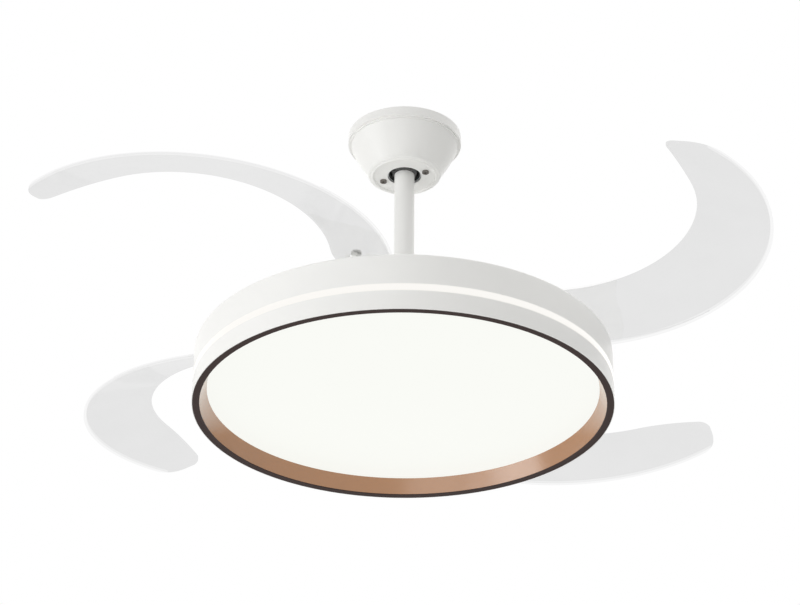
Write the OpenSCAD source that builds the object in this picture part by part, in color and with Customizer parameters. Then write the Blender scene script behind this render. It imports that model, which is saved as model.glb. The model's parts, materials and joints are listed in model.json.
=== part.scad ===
// Retractable blade ceiling fan with a round drum lamp, in millimetres.
// The origin is the middle of the ceiling face and +Z points up, so the fan hangs below it.
// Heights of the fan's lower half are counted up from the underside of the lamp.
// The blades are drawn open, as they stand while the fan turns.

/* [Hanging] */
// Ceiling face to the underside of the lamp
drop = 386; // [372:1:900]
// Outer diameter of the down rod
rod_d = 25; // [23:0.5:26]
// Wall of the down rod
rod_wall = 2; // [1.5:0.25:2.5]
// Diameter of the hanger ball
ball_d = 50; // [48:0.5:51]
// Rubber liner between the ball and its seat
liner_t = 2.4; // [2:0.2:2.6]
// Ball centre below the ceiling face
ball_drop = 36; // [35:0.5:38]

/* [Canopy] */
// Diameter of the canopy at its rim
canopy_d = 142; // [138:1:160]
// Height of the canopy
canopy_h = 59.5; // [59:0.5:62]
// Height of the straight band at the rim
canopy_band = 15; // [12:0.5:18]
// Diameter of the recessed disc in the canopy's underside
canopy_disc_d = 76; // [74:1:80]
// Diameter of the hole that the rod hangs through
canopy_hole_d = 42; // [41:0.5:43]
// Sheet thickness of the canopy
canopy_t = 2; // [1.5:0.25:2]
// Diameter of the bracket's ceiling plate
plate_d = 120; // [116:1:124]
// Distance between the two ceiling bolt holes
ceiling_bolt_gap = 88.9; // [84:0.1:92]
// Diameter of the ceiling bolt holes
ceiling_bolt_d = 5.2; // [4.5:0.1:6]

/* [Lamp] */
// Diameter of the lamp drum
lamp_d = 500; // [490:1:520]
// Height of the lamp drum
lamp_h = 70; // [68:1:90]
// Width of the dark ring around the underside
trim_w = 9; // [8:0.5:10]
// Depth of the recess in front of the diffuser
recess_h = 20; // [17:0.5:21]
// Amount by which the recess narrows towards the diffuser
recess_in = 8; // [7:0.5:9]
// Height of the lower edge of the light strip
strip_z = 23.3; // [22.5:0.1:25]
// Width of the light strip
strip_h = 8.7; // [6:0.1:12]
// Wall of the drum
pan_t = 2.5; // [2:0.25:2.5]
// Height of the LED board above the underside
board_z = 40; // [38:1:44]

/* [Blades] */
// Radius of the outer edge of a blade
blade_outer_r = 223; // [221:0.5:224]
// Radius of the inner edge of a blade
blade_inner_r = 161.5; // [160:0.5:163]
// Thickness of the clear sheet
sheet_t = 3; // [2:0.25:3]
// Thickness of the clear root plate
plate_t = 2; // [1.5:0.25:2]
// Length of the root plate from its pivot
plate_len = 82.5; // [76:0.5:86]
// Pitch of the blade's cone
blade_pitch = 21.8; // [21:0.1:23]
// Lean of the cone's axis
cone_lean = 3.2; // [3:0.1:3.4]
// Height of the blade's cone above the carrier plate, at its pivot
blade_rise = 33.6; // [33.3:0.1:35.3]
// Turn of a blade from open to folded
fold_angle = 101.1; // [95:0.1:101.1]

/* [Gears] */
// Gear module
gear_module = 2.5; // [2.4:0.05:2.55]
// Teeth of a blade gear
blade_teeth = 20; // [18:1:20]
// Teeth that a whole sync ring would have
sync_teeth = 133; // [130:1:136]
// Thickness of the gears
gear_t = 4; // [3:0.25:4.25]
// Half of the play between two teeth
tooth_play = 0.18; // [0.1:0.02:0.3]

/* [Carrier] */
// Thickness of the carrier plate
carrier_t = 3; // [2:0.25:4]
// Radius of the ear around a pivot
ear_r = 40; // [38:0.5:42]
// Diameter of a pivot post
post_d = 8; // [7:0.25:8.5]
// Wall of a pivot bush
bush_wall = 1.45; // [1.25:0.05:1.5]
// Outer diameter of the boss of a blade hub
boss_d = 15; // [14.5:0.25:16]
// Distance from a pivot to its stop pegs
peg_r = 33; // [32.5:0.25:34]
// Wire of a return spring
spring_wire = 1.6; // [1.2:0.1:1.7]
// Turns of a return spring
spring_turns = 4; // [3:1:4]

/* [Motor] */
// Radius of the rotor
rotor_r = 80; // [78:1:84]
// Height of the rotor
rotor_h = 56; // [55:0.5:57]
// Radius of the fixed motor dome
dome_r = 140; // [130:1:141]
// Outer diameter of the hollow shaft
shaft_d = 25; // [24:0.5:26]
// Bore of the hollow shaft
shaft_bore = 18; // [17:0.5:19]
// Radius of the cover over the rod coupling
cover_r = 33; // [30:0.5:34]

/* [Hidden] */

$fn = 96;
blades = 4;

// Clearances: a turning fit, a loose fit, a hole around a screw and the air above a face
run_gap = 0.05;
loose_gap = 0.3;
hole_gap = 0.1;
eps = 0.5;

// --- Ceiling end, counted down from the ceiling face ---
ball_r = ball_d / 2;
ball_z = -ball_drop;
plate_ceiling_t = 2;
canopy_top = -0.5;
canopy_bottom = canopy_top - canopy_h;
canopy_recess = 2;
canopy_disc_z = canopy_bottom + canopy_recess;
liner_in_r = ball_r + loose_gap;
liner_out_r = liner_in_r + liner_t;
seat_r = liner_out_r + loose_gap;
seat_wall = 6.5;
seat_h = 15;
seat_bottom = canopy_disc_z + canopy_t;
liner_bottom = seat_bottom + 2;
leg_t = 2.5;
leg_w = 30;
leg_x = seat_r + seat_wall - leg_t;
canopy_screw_r = 28.5;
canopy_screw_angle = 157;
canopy_screw_d = 4;
canopy_screw_len = 10;
screw_head_d = 8.5;
ball_top = 16;
ball_flat = 21;
ball_pin_rise = 7;
ball_pin_d = 6;
rod_top = ball_z + 22;
cable_d = 4.4;
cable_off = 6.4;
cable_tail = 8;

// --- Lamp, counted up from its underside ---
lamp_r = lamp_d / 2;
trim_t = 1.5;
trim_skin = 0.6;
trim_in_r = lamp_r - trim_w;
diffuser_r = trim_in_r - recess_in;
diffuser_t = 2;
lip_w = 1.5;
shelf_z = recess_h + diffuser_t + hole_gap;
shelf_t = 1.5;
band_in_r = lamp_r - pan_t;
strip_t = 4;
strip_top = strip_z + strip_h;
frame_wall = 3.8;
frame_post_r = lamp_r - 12;
frame_post_t = 2;
pan_under = lamp_h - pan_t;
pan_round = 3;
board_t = 1.6;
board_in_r = 40;
board_out_r = lamp_r - 25;
board_boss_r = lamp_r - 45;
board_bosses = 6;
boss_r = 4;
chip = 3;
chip_t = 1;
chip_turn = 5;
chip_rows = [[0.31, 12], [0.51, 20], [0.71, 28], [0.89, 36]];
driver_size = [110, 46, 20];
driver_y = 95;
flange_r = 30;
flange_t = 3;
flange_screws = 4;
flange_pcd_r = 22;
m5 = 5;
m4 = 4;
m3 = 3;

// --- Carrier and gears ---
carrier_z = lamp_h + 4;
carrier_top = carrier_z + carrier_t;
gear_z = carrier_top + loose_gap;
gear_top = gear_z + gear_t;
gear_cover_z = gear_top + eps;
gear_cover_t = 1.5;
pinion_r = gear_module * blade_teeth / 2;
sync_r = gear_module * sync_teeth / 2;
pivot_r = pinion_r + sync_r;
addendum = 0.88 * gear_module;
dedendum = 1.12 * gear_module;
rim_r = sync_r - dedendum - 13;
rim_t = 6;
carrier_r = sync_r + 6;
carrier_hole_r = shaft_d / 2 + 6;
vent_r = 14;
vent_at = 122;
lobe_teeth = 11;
tooth_step = 360 / sync_teeth;

// --- Blade, in the place of the first one ---
pivot_angle = -16.6;
pivot = pivot_r * [cos(pivot_angle), sin(pivot_angle)];
inner_c = pivot + polar(pivot_r, pivot_angle + 180 + fold_angle);
outer_shift_x = 22.5;
outer_shift_y = 11.5;
outer_c = inner_c + [outer_shift_x, outer_shift_y];
root_angle = 84.4;
tip_angle = -48.7;
tip_big_r = 40;
tip_small_r = 12;
tip_gap = 30;
tip_turn = -130;
lean_angle = -57.5;
cone_ref_r = pivot_r;
cone_z = carrier_top + blade_rise;
lip_inset = 0.3;
lip_width = 3.5;
lip_rise = 1.2;
lip_end_angle = 40;
plate_screws = [[178, 88], [205, 82], [190, 93]];
boss_r_out = boss_d / 2;
bush_r = post_d / 2 + bush_wall;
pivot_head_r = 6;
pivot_head_t = 3;
pivot_head_d = 2 * pivot_head_r;

// Height of the middle of the sheet over a point
function sheet_z(p) = cone_z + (cone_ref_r - norm(p - inner_c)) * tan(blade_pitch)
    + (p - inner_c) * [cos(lean_angle), sin(lean_angle)] * tan(cone_lean);
// Height that a thickness takes on the slope
function on_slope(t) = t / cos(blade_pitch);

hub_top = sheet_z(pivot) + on_slope(sheet_t / 2 + plate_t) + 1;
arm_angle = 34;
arm_half_w = 4;
arm_end_r = peg_r + 3;
sleeve_r = 4.5;
peg_turn = asin((arm_half_w + sleeve_r + loose_gap) / peg_r);
open_peg_angle = arm_angle + peg_turn;
fold_peg_angle = arm_angle - fold_angle - peg_turn;
peg_d = 5;
peg_rise = 11;
spring_air = 1.4;
spring_r = boss_r_out + spring_wire / 2 + spring_air;
spring_pitch = spring_wire + 0.5;
spring_z = gear_top + 2;
spring_offset = spring_r + peg_d / 2 + spring_wire / 2 + loose_gap;
spring_start = fold_peg_angle + 90 - asin(spring_offset / peg_r);
spring_leg = sqrt(peg_r * peg_r - spring_offset * spring_offset) + 3;
spring_out = 8;
stub_r = 1.5;

// --- Motor ---
rotor_z = carrier_top;
rotor_wall = 6;
rotor_base_t = 3;
rotor_flange_r = rotor_r + 16;
rotor_split = rotor_z + 26;
rotor_top = rotor_z + rotor_h;
bearing_out_r = 21;
bearing_h = 10;
bearing_ball_r = 1.7;
bearing_balls = 9;
bearing_hub_r = 27;
bearing_lip = 2;
magnet_t = 5;
magnet_count = 14;
air_gap = 1;
stator_r = rotor_r - rotor_wall - magnet_t - air_gap;
stator_mid = rotor_z + rotor_h / 2;
stator_h = 16;
stator_teeth = 12;
coil_side = 2.5;
collar_r = 16;
collar_t = 2.5;
dome_top = rotor_top + 13;
dome_t = 2;
dome_bottom = gear_cover_z + 8;
coupling_r = 19;
coupling_h = 36;
shaft_top = dome_top + 10;
rod_pin_d = 7;
rod_pin_rise = 22;
shaft_pin_rise = 5;
cover_wall = 1.5;

// ---------- Shared shapes ----------

function polar(r, a) = [r * cos(a), r * sin(a)];
function arc(c, r, from, to, steps) = [for (i = [0 : steps]) c + polar(r, from + (to - from) * i / steps)];

module ring(r_out, r_in, h) {
    difference() {
        cylinder(r = r_out, h = h);
        translate([0, 0, -eps]) cylinder(r = r_in, h = h + 2 * eps);
    }
}

module lower() {
    translate([0, 0, -drop]) children();
}

module up(z) {
    translate([0, 0, z]) children();
}

module around(count, start = 0) {
    for (i = [0 : count - 1]) rotate(start + 360 * i / count) children();
}

module at_pivot() {
    translate([pivot[0], pivot[1], 0]) children();
}

// A cross-head screw: the head's underside is at z = 0 and the shank points down
module screw(d, len, head_d, head_t) {
    difference() {
        union() {
            cylinder(d = head_d, h = head_t);
            up(-len) cylinder(d = d, h = len + eps);
        }
        up(head_t * 0.6) for (a = [0, 90]) rotate(a)
            translate([-head_d * 0.3, -head_d * 0.06, 0]) cube([head_d * 0.6, head_d * 0.12, head_t]);
    }
}

// Round pin along X with a head at one end and a clip ring near the other
module cross_pin(d, len, head) {
    rotate([0, 90, 0]) {
        up(-len / 2) cylinder(d = d, h = len);
        up(-len / 2 - 1.5) cylinder(d = d + head, h = 1.5);
    }
}

module pin_clip(d, at) {
    translate([at, 0, 0]) rotate([0, 90, 0]) ring(d / 2 + 2, d / 2 + run_gap, 1);
}

// ---------- Ceiling end ----------

module ceiling_bracket() {
    color("gainsboro") difference() {
        union() {
            up(-plate_ceiling_t) cylinder(d = plate_d, h = plate_ceiling_t);
            for (side = [0, 180]) rotate(side) translate([leg_x, -leg_w / 2, seat_bottom])
                cube([leg_t, leg_w, -seat_bottom - plate_ceiling_t / 2]);
            up(seat_bottom) cylinder(r = leg_x + leg_t / 2, h = seat_h);
        }
        up(ball_z) sphere(r = seat_r);
        up(seat_bottom - eps) cylinder(r = sqrt(pow(seat_r, 2) - pow(ball_z - seat_bottom, 2)), h = eps * 2);
        for (side = [-1, 1]) translate([side * ceiling_bolt_gap / 2, 0, -plate_ceiling_t - eps])
            cylinder(d = ceiling_bolt_d, h = plate_ceiling_t + 2 * eps);
        up(-plate_ceiling_t - eps) cylinder(r = 15, h = plate_ceiling_t + 2 * eps);
        around(2, canopy_screw_angle) translate([canopy_screw_r, 0, seat_bottom - eps])
            cylinder(d = canopy_screw_d + hole_gap, h = canopy_screw_len - canopy_t + 1 + eps);
    }
}

// Outline of the canopy: straight band, two small steps, a slightly bulging cone and a bead
canopy_r = canopy_d / 2;
canopy_foot_r = canopy_disc_d / 2 + 4;
canopy_foot_round = 4;
canopy_bulge = 1.4;
canopy_bead_r = canopy_recess;
canopy_groove = 1.2;
canopy_foot_z = canopy_bottom + canopy_groove + canopy_foot_round;
cone_top_r = canopy_r - 4.5;
cone_top_z = canopy_top - canopy_band - 1;
function canopy_side(t, inset) = [
    cone_top_r - inset + (canopy_foot_r + canopy_foot_round - cone_top_r) * t
        + canopy_bulge * sin(180 * t) * (1 - t),
    cone_top_z + (canopy_foot_z - cone_top_z) * t
];

module canopy() {
    steps = 10;
    outside = concat(
        [[canopy_r, canopy_top], [canopy_r, canopy_top - canopy_band + 3],
         [canopy_r - 2.5, canopy_top - canopy_band + 3], [canopy_r - 2.5, canopy_top - canopy_band + 1],
         [canopy_r - 4, canopy_top - canopy_band + 1], [canopy_r - 4, canopy_top - canopy_band]],
        [for (i = [0 : steps]) canopy_side(i / steps, 0)],
        arc([canopy_foot_r, canopy_foot_z], canopy_foot_round, 0, -90, 5),
        arc([canopy_disc_d / 2 + canopy_bead_r, canopy_disc_z], canopy_bead_r,
            -asin(1 - canopy_groove / canopy_bead_r), -180, 8),
        [[canopy_hole_d / 2, canopy_disc_z], [canopy_hole_d / 2 + canopy_t, canopy_disc_z + canopy_t],
         [canopy_foot_r + 1, canopy_disc_z + canopy_t]],
        [for (i = [steps : -1 : 0]) canopy_side(i / steps, canopy_t)],
        [[canopy_r - 4 - canopy_t, canopy_top - canopy_band + 3],
         [canopy_r - canopy_t, canopy_top - canopy_band + 5], [canopy_r - canopy_t, canopy_top]]
    );
    color("whitesmoke") difference() {
        rotate_extrude($fn = 144) polygon(outside);
        around(2, canopy_screw_angle) translate([canopy_screw_r, 0, canopy_disc_z - eps])
            cylinder(d = canopy_screw_d + 2 * hole_gap, h = canopy_t + 2 * eps);
    }
}

module canopy_screws() {
    color("silver") around(2, canopy_screw_angle) translate([canopy_screw_r, 0, canopy_disc_z])
        mirror([0, 0, 1]) screw(canopy_screw_d, canopy_screw_len, screw_head_d, 2.2);
}

block_y = -45;
module terminal_block() {
    size = [34, 14, 12];
    color("ivory") difference() {
        translate([-size[0] / 2, block_y - size[1] / 2, -plate_ceiling_t - size[2]]) cube(size);
        for (i = [-1, 0, 1]) translate([i * 10, block_y - size[1], -plate_ceiling_t - size[2] / 2])
            rotate([-90, 0, 0]) cylinder(d = 5, h = size[1] * 2);
        for (i = [-1, 0, 1]) translate([i * 10, block_y, -plate_ceiling_t - size[2] - eps])
            cylinder(d = 4, h = 4);
    }
}

receiver_y = 46;
module receiver_box() {
    size = [46, 20, 14];
    color("dimgray") translate([-size[0] / 2, receiver_y - size[1] / 2, -plate_ceiling_t - size[2]])
        cube(size);
}

module ball_liner() {
    color("black") intersection() {
        up(ball_z) difference() {
            sphere(r = liner_out_r);
            sphere(r = liner_in_r);
        }
        up(liner_bottom) cylinder(r = liner_out_r + 1, h = seat_h);
    }
}

module hanger_ball() {
    color("black") up(ball_z) difference() {
        intersection() {
            sphere(r = ball_r);
            up(-ball_flat) cylinder(r = ball_r + 1, h = ball_flat + ball_top);
        }
        up(-ball_r) cylinder(d = rod_d + hole_gap, h = 2 * ball_r);
        up(ball_pin_rise) rotate([0, 90, 0]) up(-ball_r) cylinder(d = ball_pin_d + hole_gap, h = 2 * ball_r);
    }
}

module ball_pin() {
    pin_len = 2 * (sqrt(pow(ball_r, 2) - pow(ball_pin_rise + ball_pin_d / 2, 2)) - 1);
    color("silver") up(ball_z + ball_pin_rise) rotate([0, 90, 0]) up(-pin_len / 2)
        cylinder(d = ball_pin_d, h = pin_len);
}

// The rod stands on the top of the shaft inside the coupling
rod_bottom = shaft_top + hole_gap - drop;
module down_rod() {
    rod_len = rod_top - rod_bottom;
    color("whitesmoke") difference() {
        up(rod_bottom) cylinder(d = rod_d, h = rod_len);
        up(rod_bottom - eps) cylinder(d = rod_d - 2 * rod_wall, h = rod_len + 2 * eps);
        up(ball_z + ball_pin_rise) rotate([0, 90, 0]) up(-rod_d)
            cylinder(d = ball_pin_d + hole_gap, h = 2 * rod_d);
        lower() up(dome_top + rod_pin_rise) rotate([0, 90, 0]) up(-rod_d)
            cylinder(d = rod_pin_d + hole_gap, h = 2 * rod_d);
    }
}

module rod_cable() {
    cable_bottom = pan_under - 8 - drop;
    color("black") translate([0, cable_off, cable_bottom])
        cylinder(d = cable_d, h = rod_top + cable_tail - cable_bottom, $fn = 24);
}

// ---------- Fixed motor parts ----------

module rod_coupling() {
    color("dimgray") lower() up(dome_top) difference() {
        cylinder(r = coupling_r, h = coupling_h);
        up(-eps) cylinder(d = max(rod_d, shaft_d) + hole_gap, h = coupling_h + 2 * eps);
        up(rod_pin_rise) rotate([0, 90, 0]) up(-coupling_r - 1)
            cylinder(d = rod_pin_d + hole_gap, h = 2 * coupling_r + 2);
        up(shaft_pin_rise) rotate([0, 90, 0]) up(-coupling_r - 1)
            cylinder(d = m5 + hole_gap, h = 2 * coupling_r + 2);
    }
}

module coupling_pins() {
    pin_len = 2 * coupling_r + 8;
    color("silver") lower() up(dome_top) translate([4, 0, 0]) {
        up(rod_pin_rise) {
            cross_pin(rod_pin_d, pin_len, 4);
            pin_clip(rod_pin_d, pin_len / 2 - 2);
        }
        up(shaft_pin_rise) {
            cross_pin(m5, pin_len, 4);
            pin_clip(m5, pin_len / 2 - 2);
        }
    }
}

module coupling_cover() {
    cover_h = coupling_h + 2 * cover_wall;
    color("whitesmoke") lower() up(dome_top) rotate_extrude() polygon(concat(
        [[cover_r - cover_wall, 0], [cover_r, 0]],
        arc([cover_r - 5, cover_h - 5], 5, 0, 90, 6),
        [[rod_d / 2 + loose_gap, cover_h], [rod_d / 2 + loose_gap, cover_h - cover_wall]],
        arc([cover_r - 5, cover_h - 5], 5 - cover_wall, 90, 0, 6)
    ));
}

module motor_shaft() {
    color("silver") lower() difference() {
        union() {
            up(lamp_h) cylinder(d = shaft_d, h = shaft_top - lamp_h);
            up(lamp_h) cylinder(r = flange_r, h = flange_t);
            up(dome_top - dome_t - collar_t) cylinder(r = collar_r, h = collar_t);
        }
        up(lamp_h - eps) cylinder(d = shaft_bore, h = shaft_top - lamp_h + 2 * eps);
        around(flange_screws, 45) translate([flange_pcd_r, 0, lamp_h - eps])
            cylinder(d = m5 + hole_gap, h = flange_t + 2 * eps);
        up(dome_top + shaft_pin_rise) rotate([0, 90, 0]) up(-shaft_d)
            cylinder(d = m5 + hole_gap, h = 2 * shaft_d);
    }
}

core_hub_r = 28;
shoe_t = 6;
tooth_w = 8;
module stator_core() {
    color("slategray") lower() up(stator_mid - stator_h / 2) difference() {
        union() {
            ring(core_hub_r, shaft_d / 2 + run_gap, stator_h);
            around(stator_teeth) translate([core_hub_r - 2, -tooth_w / 2, 0])
                cube([stator_r - shoe_t - core_hub_r + 4, tooth_w, stator_h]);
            ring(stator_r, stator_r - shoe_t, stator_h);
        }
        around(stator_teeth, 180 / stator_teeth) translate([stator_r - shoe_t - 1, -1.5, -eps])
            cube([shoe_t + 2, 3, stator_h + 2 * eps]);
    }
}

module stator_windings() {
    coil_len = stator_r - shoe_t - core_hub_r - 5;
    coil_w = tooth_w + 2 * coil_side;
    coil_h = stator_h + 2 * coil_side;
    color("chocolate") lower() up(stator_mid) around(stator_teeth) translate([core_hub_r + 4, 0, 0])
        difference() {
            translate([0, -coil_w / 2, -coil_h / 2]) cube([coil_len, coil_w, coil_h]);
            translate([-eps, -tooth_w / 2 - hole_gap, -stator_h / 2 - hole_gap])
                cube([coil_len + 2 * eps, tooth_w + 2 * hole_gap, stator_h + 2 * hole_gap]);
        }
}

// The dome stays low enough for the drum to hide it from below
module motor_dome() {
    shoulder_z = dome_top - 22;
    waist_r = dome_r * 0.75;
    neck_r = shaft_d / 2 + loose_gap;
    color("whitesmoke") lower() rotate_extrude($fn = 144) polygon([
        [dome_r - dome_t, dome_bottom], [dome_r, dome_bottom], [dome_r, shoulder_z],
        [waist_r + dome_t, dome_top - 2], [waist_r, dome_top], [neck_r, dome_top],
        [neck_r, dome_top - dome_t], [waist_r - dome_t / 2, dome_top - dome_t],
        [dome_r - dome_t, shoulder_z - dome_t / 2]
    ]);
}

// ---------- Lamp ----------

module lamp_pan() {
    color("whitesmoke") lower() difference() {
        union() {
            rotate_extrude($fn = 180) polygon(concat(
                [[shaft_bore / 2 + 1, pan_under], [band_in_r, pan_under]],
                [[band_in_r, strip_top], [lamp_r, strip_top]],
                arc([lamp_r - pan_round, lamp_h - pan_round], pan_round, 0, 90, 4),
                [[shaft_bore / 2 + 1, lamp_h]]
            ));
            around(board_bosses) translate([board_boss_r, 0, board_z + board_t])
                cylinder(r = boss_r, h = pan_under - board_z - board_t + pan_t / 2);
        }
        around(board_bosses) translate([board_boss_r, 0, board_z])
            cylinder(d = m3 + hole_gap, h = board_t + 12);
        around(flange_screws, 45) translate([flange_pcd_r, 0, pan_under - eps])
            cylinder(d = m5 + 2 * hole_gap, h = pan_t + 2 * eps);
    }
}

module light_strip() {
    color("white") lower() up(strip_z) ring(lamp_r, lamp_r - strip_t, strip_h, $fn = 180);
}

module lower_band() {
    color("whitesmoke") lower() rotate_extrude($fn = 180) polygon([
        [lamp_r, 0], [lamp_r, strip_z], [band_in_r, strip_z], [band_in_r, trim_t],
        [lamp_r - trim_skin, trim_t], [lamp_r - trim_skin, 0]
    ]);
}

module trim_ring() {
    color("#48393a") lower() ring(lamp_r - trim_skin - hole_gap, trim_in_r, trim_t, $fn = 180);
}

module reflector_ring() {
    skin = 1.2;
    color("#b98c66") lower() rotate_extrude($fn = 180) polygon([
        [trim_in_r, trim_t], [trim_in_r + skin, trim_t], [diffuser_r + lip_w + skin, recess_h - skin],
        [diffuser_r + lip_w + skin, recess_h], [diffuser_r, recess_h]
    ]);
}

module diffuser() {
    color("white") lower() up(recess_h) cylinder(r = diffuser_r + lip_w, h = diffuser_t, $fn = 180);
}

// Ring that carries the diffuser, the strip and the lower band under the pan
module lamp_frame() {
    wall_out = band_in_r - hole_gap;
    shelf_out = lamp_r - strip_t - hole_gap;
    shelf_in = diffuser_r - 2;
    color("silver") lower() rotate_extrude($fn = 180) polygon([
        [wall_out, trim_t], [wall_out, shelf_z], [shelf_out, shelf_z], [shelf_out, shelf_z + shelf_t],
        [frame_post_r, shelf_z + shelf_t], [frame_post_r, pan_under],
        [frame_post_r - frame_post_t, pan_under],
        [frame_post_r - frame_post_t, shelf_z + shelf_t], [shelf_in, shelf_z + shelf_t], [shelf_in, shelf_z],
        [wall_out - frame_wall, shelf_z], [wall_out - frame_wall, trim_t]
    ]);
}

module led_boards() {
    color("white") lower() {
        up(board_z) difference() {
            ring(board_out_r, board_in_r, board_t);
            around(board_bosses) translate([board_boss_r, 0, -eps])
                cylinder(d = m3 + hole_gap, h = board_t + 2 * eps);
        }
        up(shelf_z + shelf_t + 1) ring(frame_post_r + 1, frame_post_r + loose_gap, strip_h - 2);
    }
}

module led_chips() {
    color("khaki") lower() for (row = chip_rows) around(row[1], chip_turn)
        translate([row[0] * board_out_r - chip / 2, -chip / 2, board_z - chip_t])
            cube([chip, chip, chip_t]);
}

module drivers() {
    color("whitesmoke") lower() for (side = [-1, 1])
        translate([-driver_size[0] / 2, side * driver_y - driver_size[1] / 2, pan_under - driver_size[2]])
            cube(driver_size);
}

module lamp_screws() {
    color("silver") lower() {
        around(flange_screws, 45) translate([flange_pcd_r, 0, pan_under])
            mirror([0, 0, 1]) screw(m5, pan_t + flange_t, 9, 3);
        around(board_bosses) translate([board_boss_r, 0, board_z])
            mirror([0, 0, 1]) screw(m3, board_t + 10, 6, 1.8);
    }
}

// ---------- Rotor ----------

cover_screw_r = rotor_r - rotor_wall / 2;
flange_screw_r = rotor_r + 9;
rim_screw_r = rim_r - rim_t / 2;
rotor_screw_count = 6;
rim_screw_count = 8;

module rotor_shell() {
    color("silver") lower() up(rotor_z) difference() {
        union() {
            cylinder(r = rotor_flange_r, h = rotor_base_t);
            ring(rotor_r, rotor_r - rotor_wall, rotor_split - rotor_z);
            cylinder(r = bearing_hub_r, h = rotor_base_t + bearing_lip + bearing_h);
        }
        up(-eps) cylinder(r = bearing_out_r - 3, h = rotor_base_t * 4);
        up(rotor_base_t + bearing_lip) cylinder(r = bearing_out_r + run_gap, h = bearing_h + eps);
        around(rotor_screw_count) translate([flange_screw_r, 0, -eps])
            cylinder(d = m4 + hole_gap, h = rotor_base_t + 2 * eps);
        around(rotor_screw_count, 30) translate([cover_screw_r, 0, rotor_base_t + 5])
            cylinder(d = m3 + hole_gap, h = rotor_h);
    }
}

module rotor_cover() {
    cover_h = rotor_top - rotor_split;
    color("silver") lower() up(rotor_split) difference() {
        union() {
            ring(rotor_r, rotor_r - rotor_wall, cover_h);
            up(cover_h - rotor_base_t) cylinder(r = rotor_r, h = rotor_base_t);
            up(cover_h - rotor_base_t - bearing_lip - bearing_h)
                cylinder(r = bearing_hub_r, h = rotor_base_t + bearing_lip + bearing_h);
        }
        up(-eps) cylinder(r = bearing_out_r - 3, h = cover_h + 2 * eps);
        up(cover_h - rotor_base_t - bearing_lip - bearing_h - eps)
            cylinder(r = bearing_out_r + run_gap, h = bearing_h + eps);
        around(rotor_screw_count, 30) translate([cover_screw_r, 0, -eps])
            cylinder(d = m3 + hole_gap, h = cover_h + 2 * eps);
    }
}

module magnets() {
    step = 360 / magnet_count;
    magnet_h = stator_h + 12;
    color("#3c3c40") lower() up(stator_mid - magnet_h / 2) for (i = [0 : magnet_count - 1]) rotate(i * step)
        rotate_extrude(angle = step - 3) translate([rotor_r - rotor_wall - magnet_t - run_gap, 0])
            square([magnet_t, magnet_h]);
}

module bearing() {
    race_mid = (bearing_out_r + shaft_d / 2) / 2;
    color("lightgray") {
        ring(bearing_out_r, race_mid + bearing_ball_r + run_gap, bearing_h);
        ring(race_mid - bearing_ball_r - run_gap, shaft_d / 2 + run_gap, bearing_h);
        around(bearing_balls) translate([race_mid, 0, bearing_h / 2]) sphere(r = bearing_ball_r, $fn = 24);
    }
}

module bottom_bearing() {
    lower() up(rotor_z + rotor_base_t + bearing_lip) bearing();
}

module top_bearing() {
    lower() up(rotor_top - rotor_base_t - bearing_lip - bearing_h) bearing();
}

module rotor_screws() {
    color("silver") lower() {
        around(rotor_screw_count) translate([flange_screw_r, 0, carrier_z])
            mirror([0, 0, 1]) screw(m4, carrier_t + rotor_base_t, 7, 1.6);
        around(rotor_screw_count, 30) translate([cover_screw_r, 0, rotor_top])
            screw(m3, rotor_h - 12, 5.5, 1.8);
        around(rim_screw_count, 20) translate([rim_screw_r, 0, gear_cover_z + gear_cover_t])
            screw(m3, gear_cover_t + 5, 5, 1.5);
    }
}

// ---------- Carrier ----------

module carrier_plate() {
    color("lightgray") lower() difference() {
        union() {
            up(carrier_z) linear_extrude(carrier_t) {
                circle(r = carrier_r, $fn = 144);
                around(blades) translate(pivot) circle(r = ear_r);
            }
            up(carrier_top - eps) ring(rim_r, rim_r - rim_t, gear_cover_z - carrier_top + eps);
        }
        up(carrier_z - eps) {
            cylinder(r = carrier_hole_r, h = carrier_t + 2 * eps);
            around(blades) at_pivot() {
                cylinder(d = post_d + hole_gap, h = carrier_t + 2 * eps);
                for (a = [open_peg_angle, fold_peg_angle]) translate(polar(peg_r, a))
                    cylinder(d = peg_d + hole_gap, h = carrier_t + 2 * eps);
            }
            around(8) translate([vent_at, 0, 0]) cylinder(r = vent_r, h = carrier_t + 2 * eps);
            around(rotor_screw_count) translate([flange_screw_r, 0, 0])
                cylinder(d = m4 + hole_gap, h = carrier_t + 2 * eps);
        }
        around(rim_screw_count, 20) translate([rim_screw_r, 0, gear_cover_z - 6])
            cylinder(d = m3 + hole_gap, h = 6 + eps);
    }
}

module pivot_posts() {
    color("silver") lower() around(blades) at_pivot() difference() {
        union() {
            up(carrier_z) cylinder(d = post_d, h = hub_top - 0.2 - carrier_z);
            up(carrier_z - 1.5) cylinder(d = post_d + 6, h = 1.5);
        }
        up(hub_top - 12.5) cylinder(d = m4 + hole_gap, h = 13);
    }
}

module pivot_bushes() {
    color("#b08d57") lower() around(blades) at_pivot() up(carrier_top)
        ring(bush_r, post_d / 2 + run_gap, hub_top + 0.2 - carrier_top);
}

module pivot_screws() {
    color("silver") lower() around(blades) at_pivot() up(hub_top + 0.2)
        screw(m4, 11, pivot_head_d, pivot_head_t);
}

module stop_pegs() {
    color("silver") lower() around(blades) at_pivot() {
        translate(polar(peg_r, open_peg_angle)) up(carrier_z) cylinder(d = peg_d, h = carrier_t + gear_t + 1);
        translate(polar(peg_r, fold_peg_angle)) up(carrier_z) cylinder(d = peg_d, h = carrier_t + peg_rise);
    }
}

module stop_sleeves() {
    color("black") lower() around(blades) at_pivot() for (a = [open_peg_angle, fold_peg_angle])
        translate(polar(peg_r, a)) up(carrier_top) ring(sleeve_r, peg_d / 2 + hole_gap, gear_t + 0.2);
}

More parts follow.
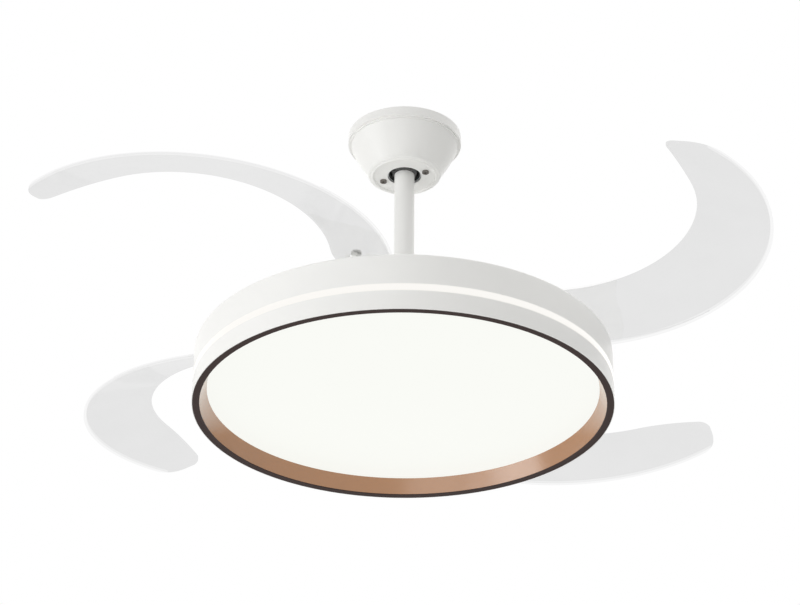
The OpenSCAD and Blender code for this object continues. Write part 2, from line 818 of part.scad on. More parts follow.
// Torsion spring: a straight leg from its peg, level coils round the boss and a short leg out
spring_steps = 8;
spring_sides = 6;
function spring_dir(i) = spring_start + 90 + 360 * i / spring_steps;
function coil_point(i) = concat(polar(spring_r, spring_start + 360 * i / spring_steps),
    [spring_z + spring_pitch * i / spring_steps]);
function spring_path() = let (last = spring_turns * spring_steps) concat(
    [[coil_point(0) - concat(polar(spring_leg, spring_dir(0)), [0]), spring_dir(0)],
     [coil_point(0) - concat(polar(spring_wire, spring_dir(0)), [0]), spring_dir(0)]],
    [for (i = [0 : last]) [coil_point(i), spring_dir(i)]],
    [[coil_point(last) + concat(polar(spring_out, spring_dir(last)), [0]), spring_dir(last)]]
);
function section(at, dir) = [for (s = [0 : spring_sides - 1]) let (a = 360 * s / spring_sides)
    at + spring_wire / 2 * [cos(a) * cos(dir - 90), cos(a) * sin(dir - 90), sin(a)]];

module torsion_spring() {
    path = spring_path();
    rings = len(path);
    n = spring_sides;
    points = [for (p = path) each section(p[0], p[1])];
    sides = [for (i = [0 : rings - 2], s = [0 : n - 1]) let (a = i * n + s, b = i * n + (s + 1) % n)
        each [[a, b, b + n], [a, b + n, a + n]]];
    caps = [for (s = [1 : n - 2]) each [[0, s + 1, s],
        [(rings - 1) * n, (rings - 1) * n + s, (rings - 1) * n + s + 1]]];
    polyhedron(points, concat(sides, caps));
}
echo(least_gap_between_spring_coils = spring_pitch - spring_wire);

module return_springs() {
    color("gray") lower() around(blades) at_pivot() torsion_spring();
}

module gear_cover() {
    color("gainsboro") lower() up(gear_cover_z) difference() {
        ring(sync_r - dedendum - 1.5, rim_r - rim_t, gear_cover_t);
        around(rim_screw_count, 20) translate([rim_screw_r, 0, -eps])
            cylinder(d = m3 + hole_gap, h = gear_cover_t + 2 * eps);
    }
}

// ---------- Gears ----------

// Half thickness of a tooth: at the root, on the pitch line and at the tip
pinion_half = gear_module * [0.88, 0.784, 0.412];
sync_half = gear_module * [1.192, 0.784, 0.464];
function tooth(r, half, a) = let (levels = [r - dedendum, r, r + addendum]) concat(
    [for (i = [0 : 2]) polar(levels[i], a - (half[i] - tooth_play) / levels[i] * 180 / PI)],
    [for (i = [2 : -1 : 0]) polar(levels[i], a + (half[i] - tooth_play) / levels[i] * 180 / PI)]
);

// A gap of each blade gear faces a tooth of the ring on the line between their centres
pinion_phase = pivot_angle + 180 + 180 / blade_teeth;
module pinion() {
    difference() {
        union() {
            polygon([for (i = [0 : blade_teeth - 1]) each tooth(pinion_r, pinion_half,
                pinion_phase + 360 * i / blade_teeth)]);
            rotate(arm_angle) translate([pinion_r * 0.6, -arm_half_w])
                square([arm_end_r - pinion_r * 0.6, 2 * arm_half_w]);
        }
        double_flat(boss_r_out + run_gap);
    }
}

// Round key: the boss of a blade hub is flattened on two sides inside its gear
module double_flat(r) {
    intersection() {
        circle(r = r);
        square([2 * r, 1.8 * r], center = true);
    }
}

module sync_ring() {
    first = pivot_angle - tooth_step * (lobe_teeth - 1) + 2 * tooth_step;
    color("white") lower() up(gear_z) linear_extrude(gear_t) difference() {
        union() {
            circle(r = sync_r - dedendum, $fn = 144);
            for (k = [0 : blades - 1], i = [0 : lobe_teeth - 1])
                polygon(concat([polar(sync_r - dedendum - 2, 90 * k + first + tooth_step * i)],
                    tooth(sync_r, sync_half, 90 * k + first + tooth_step * i)));
        }
        circle(r = rim_r + loose_gap, $fn = 144);
    }
}

// ---------- Blades ----------

// Disc that touches the inner edge outside and the outer edge inside, at one angle
edge_sum = blade_outer_r + blade_inner_r;
centre_gap = inner_c - outer_c;
root_s = (pow(edge_sum, 2) - centre_gap * centre_gap)
    / (2 * (centre_gap * polar(1, root_angle) + edge_sum));
root_r = root_s - blade_inner_r;
root_c = inner_c + polar(root_s, root_angle);
tip_big_c = outer_c + polar(blade_outer_r - tip_big_r, tip_angle);
tip_small_c = tip_big_c + polar(tip_gap, tip_turn);
to_tip = tip_small_c - inner_c;
touch_angle = atan2(to_tip[1], to_tip[0]) + acos((blade_inner_r + tip_small_r) / norm(to_tip));

root_out = root_c - outer_c;
root_out_angle = atan2(root_out[1], root_out[0]);
tip_low_angle = tip_turn + 180 - acos((tip_small_r - tip_big_r) / tip_gap);

function tail(points) = [for (i = [1 : len(points) - 1]) points[i]];

// Outer edge, round tip, inner edge and round root, each starting where the last one ends
outline = concat(
    tail(arc(outer_c, blade_outer_r, root_out_angle, tip_angle, 44)),
    tail(arc(tip_big_c, tip_big_r, tip_angle, tip_low_angle, 8)),
    tail(arc(tip_small_c, tip_small_r, tip_low_angle, touch_angle - 180, 8)),
    arc(inner_c, blade_inner_r, touch_angle, root_angle, 34),
    tail(arc(root_c, root_r, root_angle + 180, root_out_angle, 20))
);

module planform() {
    polygon(outline);
}

// Lip along the outer edge, that narrows to nothing on its way out
lip_steps = 20;
lip_r = blade_outer_r - lip_inset;
lip_arc = arc(outer_c, lip_r, root_out_angle, lip_end_angle, lip_steps);
module lip_band() {
    turn = (lip_end_angle - root_out_angle) / lip_steps;
    polygon(concat(lip_arc, [for (i = [lip_steps - 1 : -1 : 0])
        outer_c + polar(lip_r - lip_width * (1 - i / lip_steps), root_out_angle + turn * i)]));
}

// End of the root plate, a shallow wave from edge to edge of the sheet
plate_from = pivot + polar(plate_len, -36.5);
plate_to = pivot + polar(plate_len, 24.5);
plate_bulge = 2.2;
plate_wave = 3.9;
function plate_end(t) = plate_from + (plate_to - plate_from) * t
    + [plate_bulge * sin(180 * t) - plate_wave * sin(360 * t), 0];
module plate_area() {
    polygon(concat([for (i = [-2 : 14]) plate_end(i / 12)],
        [pivot + [0, 2 * plate_len], pivot - [2 * plate_len, 0], pivot - [0, 2 * plate_len]]));
}

// Frame of the blade's leaning cone, with its origin at the sheet's reference height
module cone_frame() {
    translate([inner_c[0], inner_c[1], cone_z])
        rotate(a = cone_lean, v = [sin(lean_angle), -cos(lean_angle), 0]) children();
}

// Conical layer between two distances from the middle of the sheet
layer_margin = 45;
module layer(low, high) {
    function rim(r, off) = [r, (cone_ref_r - r) * tan(blade_pitch) + on_slope(off)];
    r_in = blade_inner_r - layer_margin;
    r_out = blade_outer_r + norm(centre_gap) + layer_margin;
    cone_frame() rotate_extrude($fn = 180)
        polygon([rim(r_in, low), rim(r_out, low), rim(r_out, high), rim(r_in, high)]);
}

// Children above the sheet's planform, cut to one conical layer
module cut_to_layer(low, high) {
    intersection() {
        up(carrier_z) linear_extrude(2 * blade_rise + 10) children();
        layer(low, high);
    }
}

module at_plate_screws() {
    cone_frame() for (at = plate_screws) rotate(at[1])
        translate([at[0], 0, (cone_ref_r - at[0]) * tan(blade_pitch)]) rotate([0, blade_pitch, 0]) children();
}

stub_at = polar(spring_r, spring_start) + polar(spring_out - 2, spring_start + 90)
    + polar(spring_wire / 2 + stub_r + loose_gap, spring_start);

stub_z = spring_z + spring_turns * spring_pitch - 2;
stub_top = sheet_z(pivot + stub_at) + on_slope((sheet_t + plate_t) / 2);

module blade() {
    color("#e4e8ea", 0.5) lower() difference() {
        union() {
            cut_to_layer(-sheet_t / 2, sheet_t / 2) planform();
            cut_to_layer(sheet_t / 2 - eps, sheet_t / 2 + lip_rise) lip_band();
        }
        at_pivot() up(carrier_z) cylinder(r = boss_r_out + loose_gap, h = 2 * blade_rise);
        at_pivot() translate(stub_at) up(carrier_z) cylinder(r = stub_r + loose_gap, h = 2 * blade_rise);
        at_plate_screws() up(-sheet_t) cylinder(d = m3 + hole_gap, h = 2 * sheet_t);
    }
}

module bush_bore() {
    up(gear_z - eps) cylinder(r = bush_r + run_gap, h = hub_top - gear_z + 1);
}

// Boss, root plate and spring stub in one clear moulding, with a keyed foot inside its gear
module blade_hub() {
    color("#dfe4e6", 0.6) lower() {
        difference() {
            union() {
                cut_to_layer(sheet_t / 2, sheet_t / 2 + plate_t) intersection() {
                    planform();
                    plate_area();
                    translate(outer_c) circle(r = lip_r - lip_width - loose_gap, $fn = 180);
                }
                at_pivot() up(gear_top) cylinder(r = boss_r_out, h = hub_top - gear_top);
                at_pivot() translate(stub_at) up(stub_z) cylinder(r = stub_r, h = stub_top - stub_z);
            }
            at_plate_screws() up(sheet_t / 2 - eps) cylinder(d = m3 + hole_gap, h = plate_t + 2);
            at_pivot() bush_bore();
            at_pivot() up(hub_top) cylinder(r = pivot_head_r + 0.8, h = 10);
        }
        at_pivot() difference() {
            up(gear_z) linear_extrude(gear_t) double_flat(boss_r_out);
            bush_bore();
        }
    }
}

module blade_gear() {
    color("white") lower() at_pivot() up(gear_z) linear_extrude(gear_t) pinion();
}

module blade_screws() {
    nut_t = 2.2;
    nut_r = 3.1;
    nut_bottom = -sheet_t / 2 - run_gap - nut_t;
    color("silver") lower() at_plate_screws() {
        up(sheet_t / 2 + plate_t) screw(m3, sheet_t / 2 + plate_t - nut_bottom, 6, 1.6);
        up(nut_bottom) difference() {
            cylinder(r = nut_r, h = nut_t, $fn = 6);
            up(-eps) cylinder(d = m3 + hole_gap, h = nut_t + 2 * eps);
        }
    }
}

module station(k) {
    rotate(90 * (k - 1)) children();
}

ceiling_bracket();
canopy();
canopy_screws();
terminal_block();
receiver_box();
ball_liner();
hanger_ball();
ball_pin();
down_rod();
rod_cable();
rod_coupling();
coupling_pins();
coupling_cover();
motor_shaft();
stator_core();
stator_windings();
motor_dome();
lamp_pan();
light_strip();
lower_band();
trim_ring();
reflector_ring();
diffuser();
lamp_frame();
led_boards();
led_chips();
drivers();
lamp_screws();
rotor_shell();
rotor_cover();
magnets();
bottom_bearing();
top_bearing();
rotor_screws();
carrier_plate();
pivot_posts();
pivot_bushes();
pivot_screws();
stop_pegs();
stop_sleeves();
return_springs();
gear_cover();
sync_ring();
station(1) blade();  // blade_1
station(2) blade();  // blade_2
station(3) blade();  // blade_3
station(4) blade();  // blade_4
station(1) blade_hub();  // blade_hub_1
station(2) blade_hub();  // blade_hub_2
station(3) blade_hub();  // blade_hub_3
station(4) blade_hub();  // blade_hub_4
station(1) blade_gear();  // blade_gear_1
station(2) blade_gear();  // blade_gear_2
station(3) blade_gear();  // blade_gear_3
station(4) blade_gear();  // blade_gear_4
station(1) blade_screws();  // blade_screws_1
station(2) blade_screws();  // blade_screws_2
station(3) blade_screws();  // blade_screws_3
station(4) blade_screws();  // blade_screws_4
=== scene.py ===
"""Finishes, light and camera for a ceiling fan with folding clear blades and a drum lamp."""
import json
import math

import bpy
from mathutils import Matrix, Vector

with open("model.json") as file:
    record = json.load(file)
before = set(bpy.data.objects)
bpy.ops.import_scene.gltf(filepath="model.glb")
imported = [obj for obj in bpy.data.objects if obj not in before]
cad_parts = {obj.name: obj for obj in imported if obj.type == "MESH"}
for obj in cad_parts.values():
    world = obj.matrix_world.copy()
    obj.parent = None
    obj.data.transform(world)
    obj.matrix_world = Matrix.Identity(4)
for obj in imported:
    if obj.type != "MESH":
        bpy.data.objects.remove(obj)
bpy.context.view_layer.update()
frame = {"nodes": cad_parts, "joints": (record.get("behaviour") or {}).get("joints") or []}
NODES = frame["nodes"]

MM = 0.001
MM_PER_M = 1000.0
BLADE_COUNT = 4

# A blade's outer edge: its radius, how far the blade folds, and the shift of its middle from the inner edge's
BLADE_OUTER_R = 223.0 * MM
FOLD_ANGLE = math.radians(101.1)
OUTER_SHIFT = Vector((22.5, 11.5, 0.0)) * MM
# The turned-up lip along that edge; a painted highlight, a lighter grey band along the rim, starts at its
# inner side
LIP_INSET = 0.3 * MM
LIP_WIDTH = 3.5 * MM
RIM_HIGHLIGHT_START = BLADE_OUTER_R - LIP_INSET - LIP_WIDTH
RIM_HIGHLIGHT_SOFTNESS = 0.6 * MM
BLADE_GREY = (0.79, 0.79, 0.79)
# Lighter grey of the painted rim highlight, mixed into the blade's grey
RIM_HIGHLIGHT_GREY = (0.93, 0.93, 0.93)

# The middle part of a noise's values, which is stretched over the whole range of an effect
NOISE_LOW = 0.3
NOISE_HIGH = 0.7

# Light of the surroundings: a level, a slope over direction, a slope that grows sideways, and the least value
SKY_LEVEL = 1.016
SKY_SLOPE = (-0.291, 0.454, 0.298)
SKY_SIDE_SLOPE = (-0.634, 0.0, 1.214)
SKY_LEAST = 0.12
SKY_COLOUR = (1.0, 0.995, 0.985, 1.0)
WHITE = (1.0, 1.0, 1.0, 1.0)

SOFT_BOX_SIZE = 1.6
LIT_POINT = (0.0, 0.0, -0.15)
FLOOR_HALF = 40.0
FLOOR_LEVEL = -2.6

LENS = 105.46
SENSOR_WIDTH = 36.0
VIEW_DEPTH = 50.0
CAMERA_AIM = Vector((-0.0045, 0.0, -0.23919))
CAMERA_DISTANCE = 2.84771
CAMERA_TILT = math.radians(29.12)
CAMERA_ROLL = math.radians(0.394)


# ---------- Shared effects ----------

def group_socket(tree, name, kind, direction, value=None):
    """Adds one named input or output to a node group."""
    socket = tree.interface.new_socket(name, in_out=direction, socket_type="NodeSocket" + kind)
    if value is not None:
        socket.default_value = value


def new_group(name, inputs, outputs):
    """An empty node group with its input and output nodes."""
    tree = bpy.data.node_groups.new(name, "ShaderNodeTree")
    for label, kind, value in inputs:
        group_socket(tree, label, kind, "INPUT", value)
    for label, kind in outputs:
        group_socket(tree, label, kind, "OUTPUT")
    return tree, tree.nodes.new("NodeGroupInput"), tree.nodes.new("NodeGroupOutput")


def math_node(tree, operation, a, b=None):
    """A maths node whose inputs are sockets or plain numbers."""
    node = tree.nodes.new("ShaderNodeMath")
    node.operation = operation
    for i, value in enumerate((a, b)):
        if isinstance(value, bpy.types.NodeSocket):
            tree.links.new(value, node.inputs[i])
        elif value is not None:
            node.inputs[i].default_value = value
    return node.outputs[0]


def dot_node(tree, vector, other):
    """The dot product of a vector socket and a fixed vector."""
    node = tree.nodes.new("ShaderNodeVectorMath")
    node.operation = "DOT_PRODUCT"
    tree.links.new(vector, node.inputs[0])
    node.inputs[1].default_value = other
    return node.outputs["Value"]


def radius_node(tree, centre):
    """Distance from the upright axis through a point, and height over that point, in metres."""
    local = tree.nodes.new("ShaderNodeVectorMath")
    local.operation = "SUBTRACT"
    tree.links.new(tree.nodes.new("ShaderNodeTexCoord").outputs["Object"], local.inputs[0])
    tree.links.new(centre, local.inputs[1])
    split = tree.nodes.new("ShaderNodeSeparateXYZ")
    tree.links.new(local.outputs[0], split.inputs[0])
    across = math_node(tree, "ADD", math_node(tree, "MULTIPLY", split.outputs["X"], split.outputs["X"]),
                       math_node(tree, "MULTIPLY", split.outputs["Y"], split.outputs["Y"]))
    return math_node(tree, "SQRT", across), split.outputs["Z"]


def map_range(tree, value, low, high, to_low, to_high):
    """Maps a value from one span to another, clamped."""
    node = tree.nodes.new("ShaderNodeMapRange")
    tree.links.new(value, node.inputs["Value"])
    for label, number in zip(("From Min", "From Max", "To Min", "To Max"), (low, high, to_low, to_high)):
        node.inputs[label].default_value = number
    return node.outputs["Result"]


def noise(tree, vector, scale, detail, rough=0.5):
    """Fractal noise over a vector, from 0 to 1."""
    node = tree.nodes.new("ShaderNodeTexNoise")
    node.inputs["Detail"].default_value = detail
    node.inputs["Roughness"].default_value = rough
    tree.links.new(vector, node.inputs["Vector"])
    tree.links.new(scale, node.inputs["Scale"])
    return node.outputs["Fac"]


def grain_group():
    """Fine even texture of paint, castings and moulded plastic: a height and a slow mottle."""
    tree, entry, leave = new_group("fine_grain", [("Size", "Float", 1.0), ("Mottle Size", "Float", 40.0)],
                                   [("Height", "Float"), ("Mottle", "Float")])
    place = tree.nodes.new("ShaderNodeTexCoord").outputs["Object"]
    fine = math_node(tree, "DIVIDE", MM_PER_M, entry.outputs["Size"])
    slow = math_node(tree, "DIVIDE", MM_PER_M, entry.outputs["Mottle Size"])
    tree.links.new(noise(tree, place, fine, 3.0), leave.inputs["Height"])
    tree.links.new(noise(tree, place, slow, 2.0), leave.inputs["Mottle"])
    return tree


def turned_group():
    """Fine rings left by turning or brushing around an upright axis."""
    tree, entry, leave = new_group(
        "turned_rings", [("Spacing", "Float", 0.5), ("Centre", "Vector", (0, 0, 0))], [("Height", "Float")])
    radius, height = radius_node(tree, entry.outputs["Centre"])
    line = tree.nodes.new("ShaderNodeCombineXYZ")
    tree.links.new(radius, line.inputs["X"])
    tree.links.new(height, line.inputs["Y"])
    scale = math_node(tree, "DIVIDE", MM_PER_M, entry.outputs["Spacing"])
    tree.links.new(noise(tree, line.outputs[0], scale, 2.0, 0.7), leave.inputs["Height"])
    return tree


def tint_group():
    """Mixes two close colours by a mask."""
    tree, entry, leave = new_group(
        "two_tone", [("Mask", "Float", 0.5), ("Low", "Color", (0, 0, 0, 1)), ("High", "Color", (1, 1, 1, 1))],
        [("Color", "Color")])
    mix = tree.nodes.new("ShaderNodeMix")
    mix.data_type = "RGBA"
    share = map_range(tree, entry.outputs["Mask"], NOISE_LOW, NOISE_HIGH, 0.0, 1.0)
    tree.links.new(share, mix.inputs["Factor"])
    tree.links.new(entry.outputs["Low"], mix.inputs["A"])
    tree.links.new(entry.outputs["High"], mix.inputs["B"])
    tree.links.new(mix.outputs["Result"], leave.inputs["Color"])
    return tree


def rim_highlight_mask_group():
    """Mask of the painted rim highlight: 1 outside a radius round an upright axis, with a soft start."""
    tree, entry, leave = new_group("rim_highlight_mask", [("Centre", "Vector", (0, 0, 0)), ("Start", "Float", 0.2)],
                                   [("Mask", "Float")])
    radius, _ = radius_node(tree, entry.outputs["Centre"])
    beyond = math_node(tree, "SUBTRACT", radius, entry.outputs["Start"])
    tree.links.new(map_range(tree, beyond, 0.0, RIM_HIGHLIGHT_SOFTNESS, 0.0, 1.0), leave.inputs["Mask"])
    return tree


GRAIN = grain_group()
TURNED = turned_group()
TWO_TONE = tint_group()
RIM_HIGHLIGHT_MASK = rim_highlight_mask_group()


# ---------- Building materials ----------

def place_group(mat, tree, **values):
    """Puts a shared effect in a material with its own values."""
    node = mat.node_tree.nodes.new("ShaderNodeGroup")
    node.node_tree = tree
    for label, value in values.items():
        node.inputs[label.replace("_", " ")].default_value = value
    return node


def colour(rgb, factor=1.0):
    """A colour made lighter or darker, with full alpha."""
    return (rgb[0] * factor, rgb[1] * factor, rgb[2] * factor, 1.0)


def material(name, rgb, rough, metallic=0.0, spread=0.04, rough_spread=0.06, grain=1.0, bump=0.15,
             depth=0.05, mottle=40.0, turned=None, **sockets):
    """A finish with mottled colour and roughness over fine grain, or over turned rings; sizes in mm."""
    mat = bpy.data.materials.new(name)
    mat.use_nodes = True
    tree = mat.node_tree
    shader = tree.nodes["Principled BSDF"]
    shader.inputs["Metallic"].default_value = metallic
    for label, value in sockets.items():
        shader.inputs[label.replace("_", " ")].default_value = value
    grains = place_group(mat, GRAIN, Size=grain, Mottle_Size=mottle)
    tones = place_group(mat, TWO_TONE, Low=colour(rgb, 1 - spread), High=colour(rgb, 1 + spread))
    tree.links.new(grains.outputs["Mottle"], tones.inputs["Mask"])
    tree.links.new(tones.outputs["Color"], shader.inputs["Base Color"])
    height = grains.outputs["Height"]
    if turned:
        height = place_group(mat, TURNED, Spacing=turned).outputs["Height"]
    gloss = map_range(tree, height, NOISE_LOW, NOISE_HIGH, rough - rough_spread, rough + rough_spread)
    tree.links.new(gloss, shader.inputs["Roughness"])
    relief = tree.nodes.new("ShaderNodeBump")
    relief.inputs["Strength"].default_value = bump
    relief.inputs["Distance"].default_value = depth * MM
    tree.links.new(height, relief.inputs["Height"])
    tree.links.new(relief.outputs["Normal"], shader.inputs["Normal"])
    return mat


def dress(mat, *names):
    """Gives CAD nodes a finish."""
    for name in names:
        mesh = NODES[name].data
        mesh.materials.clear()
        mesh.materials.append(mat)


def four(name):
    """The node names of a piece that each blade has."""
    return [f"{name}_{k + 1}" for k in range(BLADE_COUNT)]


def lit_plastic(name, rgb, strength):
    """Milky plastic lit from behind, a little uneven."""
    mat = material(name, (0.05, 0.05, 0.048), 0.4, spread=0.01, grain=0.6, bump=0.05, depth=0.02,
                   Specular_IOR_Level=0.3)
    tree = mat.node_tree
    shader = tree.nodes["Principled BSDF"]
    glow = place_group(mat, TWO_TONE, Low=colour(rgb, 0.995), High=colour(rgb))
    slow = place_group(mat, GRAIN, Size=5.0, Mottle_Size=160.0)
    tree.links.new(slow.outputs["Mottle"], glow.inputs["Mask"])
    tree.links.new(glow.outputs["Color"], shader.inputs["Emission Color"])
    shader.inputs["Emission Strength"].default_value = strength
    return mat


def clear_plastic(name, rgb, rough):
    """Clear plastic with a slight grey body, a polished skin and soft flow marks."""
    return material(name, rgb, rough, spread=0.01, rough_spread=0.01, grain=9.0, bump=0.02, depth=0.1,
                    mottle=60.0, Transmission_Weight=1.0, IOR=1.0, Coat_Weight=0.1, Coat_IOR=1.49,
                    Coat_Roughness=0.04)


def outer_centre(k):
    """Middle of a blade's outer edge: the pivot's own radius back from the pivot, then shifted."""
    fold = next(joint for joint in frame["joints"] if joint["name"] == f"blade_{k + 1}_fold")
    pivot = Vector((fold["pos_m"][0], fold["pos_m"][1], 0.0))
    inner_centre = pivot + Matrix.Rotation(math.pi + FOLD_ANGLE, 3, "Z") @ pivot
    return inner_centre + Matrix.Rotation(math.tau * k / BLADE_COUNT, 3, "Z") @ OUTER_SHIFT


def blade_sheet(k):
    """Clear sheet of one blade, with a painted highlight: its tint goes lighter along its outer rim."""
    mat = clear_plastic(f"clear_blade_rim_highlight_{k + 1}", BLADE_GREY, 0.02)
    tree = mat.node_tree
    shader = tree.nodes["Principled BSDF"]
    body = shader.inputs["Base Color"].links[0].from_socket
    # Painted highlight: a lighter grey mixed into the tint along the outer rim
    rim_highlight = place_group(mat, RIM_HIGHLIGHT_MASK, Centre=outer_centre(k), Start=RIM_HIGHLIGHT_START)
    tones = place_group(mat, TWO_TONE, High=colour(RIM_HIGHLIGHT_GREY))
    tree.links.new(rim_highlight.outputs["Mask"], tones.inputs["Mask"])
    tree.links.new(body, tones.inputs["Low"])
    tree.links.new(tones.outputs["Color"], shader.inputs["Base Color"])
    return mat


# ---------- Finishes ----------

def housing_finishes():
    """White housings, the lit pieces, the dark ring and the copper-gold wall."""
    dress(material("white_powder_coat", (0.86, 0.86, 0.845), 0.42, spread=0.006, grain=0.9, bump=0.12,
                   depth=0.03),
          "canopy", "down_rod", "coupling_cover", "motor_dome", "lamp_pan", "lower_band")
    dress(lit_plastic("lit_diffuser", (0.955, 0.965, 0.922), 0.915), "diffuser")
    dress(lit_plastic("lit_strip", (0.985, 0.965, 0.930), 0.92), "light_strip")
    dress(material("dark_brown_trim", (0.044, 0.027, 0.025), 0.6, turned=0.6, bump=0.1, spread=0.05,
                   Specular_IOR_Level=0.2),
          "trim_ring")
    dress(material("copper_gold_wall", (0.40, 0.185, 0.072), 0.35, turned=0.5, bump=0.05, depth=0.02,
                   spread=0.02, Coat_Weight=1.0, Coat_IOR=1.8, Coat_Roughness=0.2),
          "reflector_ring")


def hanger_and_screw_finishes():
    """The ball joint, bracket and cable, and all screws, pins and posts."""
    dress(material("dark_ball", (0.10, 0.10, 0.10), 0.12, metallic=1.0, grain=1.5), "hanger_ball")
    dress(material("black_rubber", (0.025, 0.025, 0.025), 0.7, grain=0.7, bump=0.3),
          "ball_liner", "stop_sleeves")
    dress(material("cable_sheath", (0.03, 0.03, 0.03), 0.45, grain=0.8), "rod_cable")
    dress(material("zinc_steel", (0.62, 0.63, 0.64), 0.35, metallic=1.0, mottle=9.0, spread=0.12,
                   rough_spread=0.1),
          "ceiling_bracket", "lamp_frame")
    dress(material("dark_screw", (0.20, 0.185, 0.17), 0.25, metallic=1.0, grain=0.4), "canopy_screws")
    dress(material("bright_screw", (0.74, 0.74, 0.73), 0.25, metallic=1.0, grain=0.4),
          "ball_pin", "coupling_pins", "lamp_screws", "rotor_screws", "stop_pegs")
    dress(material("white_screw_coat", (0.86, 0.86, 0.85), 0.35, grain=0.5), "pivot_screws", "pivot_posts")
    dress(clear_plastic("milky_nylon", (0.97, 0.97, 0.96), 0.2), *four("blade_screws"))


def motor_finishes():
    """The motor, the carrier that turns with it, and the gears that fold the blades."""
    dress(material("ground_steel", (0.60, 0.60, 0.60), 0.22, metallic=1.0, turned=0.3),
          "motor_shaft", "bottom_bearing", "top_bearing")
    dress(material("grey_casting", (0.16, 0.16, 0.165), 0.55, grain=1.6, bump=0.35, depth=0.1),
          "rod_coupling")
    dress(material("core_laminations", (0.30, 0.31, 0.33), 0.4, metallic=0.9, turned=0.35, bump=0.4),
          "stator_core")
    dress(material("copper_wire", (0.72, 0.30, 0.14), 0.28, metallic=1.0, grain=0.5, bump=0.4),
          "stator_windings")
    dress(material("sintered_magnet", (0.09, 0.09, 0.10), 0.5, metallic=0.6, grain=0.8), "magnets")
    dress(material("die_cast_aluminium", (0.66, 0.66, 0.67), 0.42, metallic=1.0, grain=1.2, bump=0.25),
          "rotor_shell", "rotor_cover")
    dress(material("carrier_coat", (0.62, 0.62, 0.615), 0.45), "carrier_plate", "gear_cover")
    dress(material("white_acetal", (0.84, 0.84, 0.82), 0.35, grain=0.8), "pivot_bushes")
    dress(material("spring_wire", (0.42, 0.42, 0.43), 0.3, metallic=1.0, grain=0.5), "return_springs")
    dress(material("white_nylon", (0.80, 0.79, 0.74), 0.45, grain=1.4, Subsurface_Weight=0.1),
          "sync_ring", *four("blade_gear"))


def electric_finishes():
    """Lamp boards and their drivers, the terminal block and the receiver."""
    dress(material("white_board", (0.80, 0.81, 0.80), 0.4), "led_boards", "drivers")
    dress(material("led_phosphor", (0.85, 0.72, 0.22), 0.35, grain=0.5), "led_chips")
    dress(material("ivory_terminal", (0.78, 0.74, 0.62), 0.5), "terminal_block")
    dress(material("grey_receiver", (0.10, 0.10, 0.105), 0.55, grain=0.7, bump=0.3), "receiver_box")


def blade_finishes():
    """The clear sheets and their clear root bosses."""
    for k, name in enumerate(four("blade")):
        dress(blade_sheet(k), name)
    dress(clear_plastic("clear_hub", (0.985, 0.985, 0.98), 0.02), *four("blade_hub"))


# ---------- Light, floor and camera ----------

def floor():
    """A plain pale floor, far enough out to show no edge."""
    corners = [(-1, -1), (1, -1), (1, 1), (-1, 1)]
    mesh = bpy.data.meshes.new("floor")
    mesh.from_pydata([(FLOOR_HALF * x, FLOOR_HALF * y, FLOOR_LEVEL) for x, y in corners], [], [(0, 1, 2, 3)])
    plane = bpy.data.objects.new("floor", mesh)
    bpy.context.scene.collection.objects.link(plane)
    mesh.materials.append(
        material("pale_floor", (0.62, 0.62, 0.615), 0.7, spread=0.01, mottle=400.0, grain=3.0))


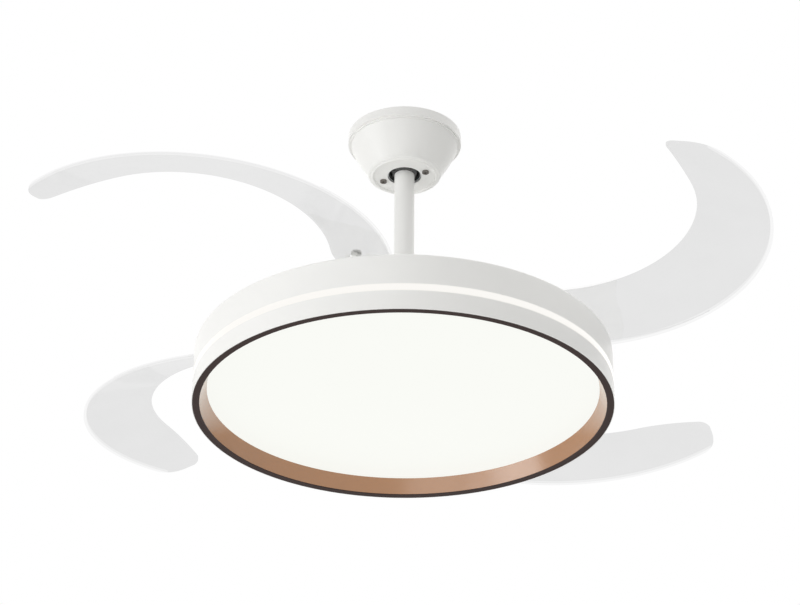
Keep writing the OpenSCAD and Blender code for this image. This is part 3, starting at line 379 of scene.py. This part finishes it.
def studio_world():
    """White surroundings; as a light they are brightest above and behind, dimmest low on the right."""
    world = bpy.data.worlds.new("studio")
    bpy.context.scene.world = world
    world.use_nodes = True
    tree = world.node_tree
    tree.nodes.clear()
    leave = tree.nodes.new("ShaderNodeOutputWorld")
    seen = tree.nodes.new("ShaderNodeBackground")
    light = tree.nodes.new("ShaderNodeBackground")
    mix = tree.nodes.new("ShaderNodeMixShader")
    path = tree.nodes.new("ShaderNodeLightPath")
    facing = tree.nodes.new("ShaderNodeTexCoord").outputs["Generated"]
    split = tree.nodes.new("ShaderNodeSeparateXYZ")
    tree.links.new(facing, split.inputs[0])
    slope = dot_node(tree, facing, SKY_SLOPE)
    sideways = math_node(tree, "MULTIPLY", split.outputs["X"], dot_node(tree, facing, SKY_SIDE_SLOPE))
    total = math_node(tree, "ADD", math_node(tree, "ADD", slope, sideways), SKY_LEVEL)
    tree.links.new(math_node(tree, "MAXIMUM", total, SKY_LEAST), light.inputs["Strength"])
    light.inputs["Color"].default_value = SKY_COLOUR
    straight = math_node(tree, "MAXIMUM", path.outputs["Is Camera Ray"], path.outputs["Is Transmission Ray"])
    tree.links.new(straight, mix.inputs["Fac"])
    seen.inputs["Color"].default_value = WHITE
    tree.links.new(light.outputs[0], mix.inputs[1])
    tree.links.new(seen.outputs[0], mix.inputs[2])
    tree.links.new(mix.outputs[0], leave.inputs["Surface"])


def soft_box(name, place, power):
    """A square soft light aimed at the lamp drum."""
    data = bpy.data.lights.new(name, "AREA")
    data.size = SOFT_BOX_SIZE
    data.energy = power
    lamp = bpy.data.objects.new(name, data)
    bpy.context.scene.collection.objects.link(lamp)
    lamp.location = place
    lamp.rotation_euler = (Vector(LIT_POINT) - Vector(place)).to_track_quat("-Z", "Y").to_euler()


def camera():
    """The photograph's view: from below and in front, with a long lens."""
    data = bpy.data.cameras.new("camera")
    data.lens = LENS
    data.sensor_width = SENSOR_WIDTH
    data.clip_end = VIEW_DEPTH
    view = bpy.data.objects.new("camera", data)
    bpy.context.scene.collection.objects.link(view)
    toward = Vector((0, math.cos(CAMERA_TILT), math.sin(CAMERA_TILT)))
    view.matrix_world = (Matrix.Translation(CAMERA_AIM - CAMERA_DISTANCE * toward)
                         @ Matrix.Rotation(math.pi / 2 + CAMERA_TILT, 4, "X")
                         @ Matrix.Rotation(CAMERA_ROLL, 4, "Z"))
    bpy.context.scene.camera = view


def studio():
    """Everything round the fan: floor, surroundings, soft lights and camera."""
    bpy.context.scene.view_settings.view_transform = "Standard"
    floor()
    studio_world()
    soft_box("left_soft_box", (-2.6, -0.9, -0.5), 19.7)
    soft_box("low_soft_box", (-1.8, -1.2, -1.9), 10.2)
    soft_box("front_soft_box", (-0.9, -2.6, -1.2), 5.9)
    camera()


housing_finishes()
hanger_and_screw_finishes()
motor_finishes()
electric_finishes()
blade_finishes()
studio()
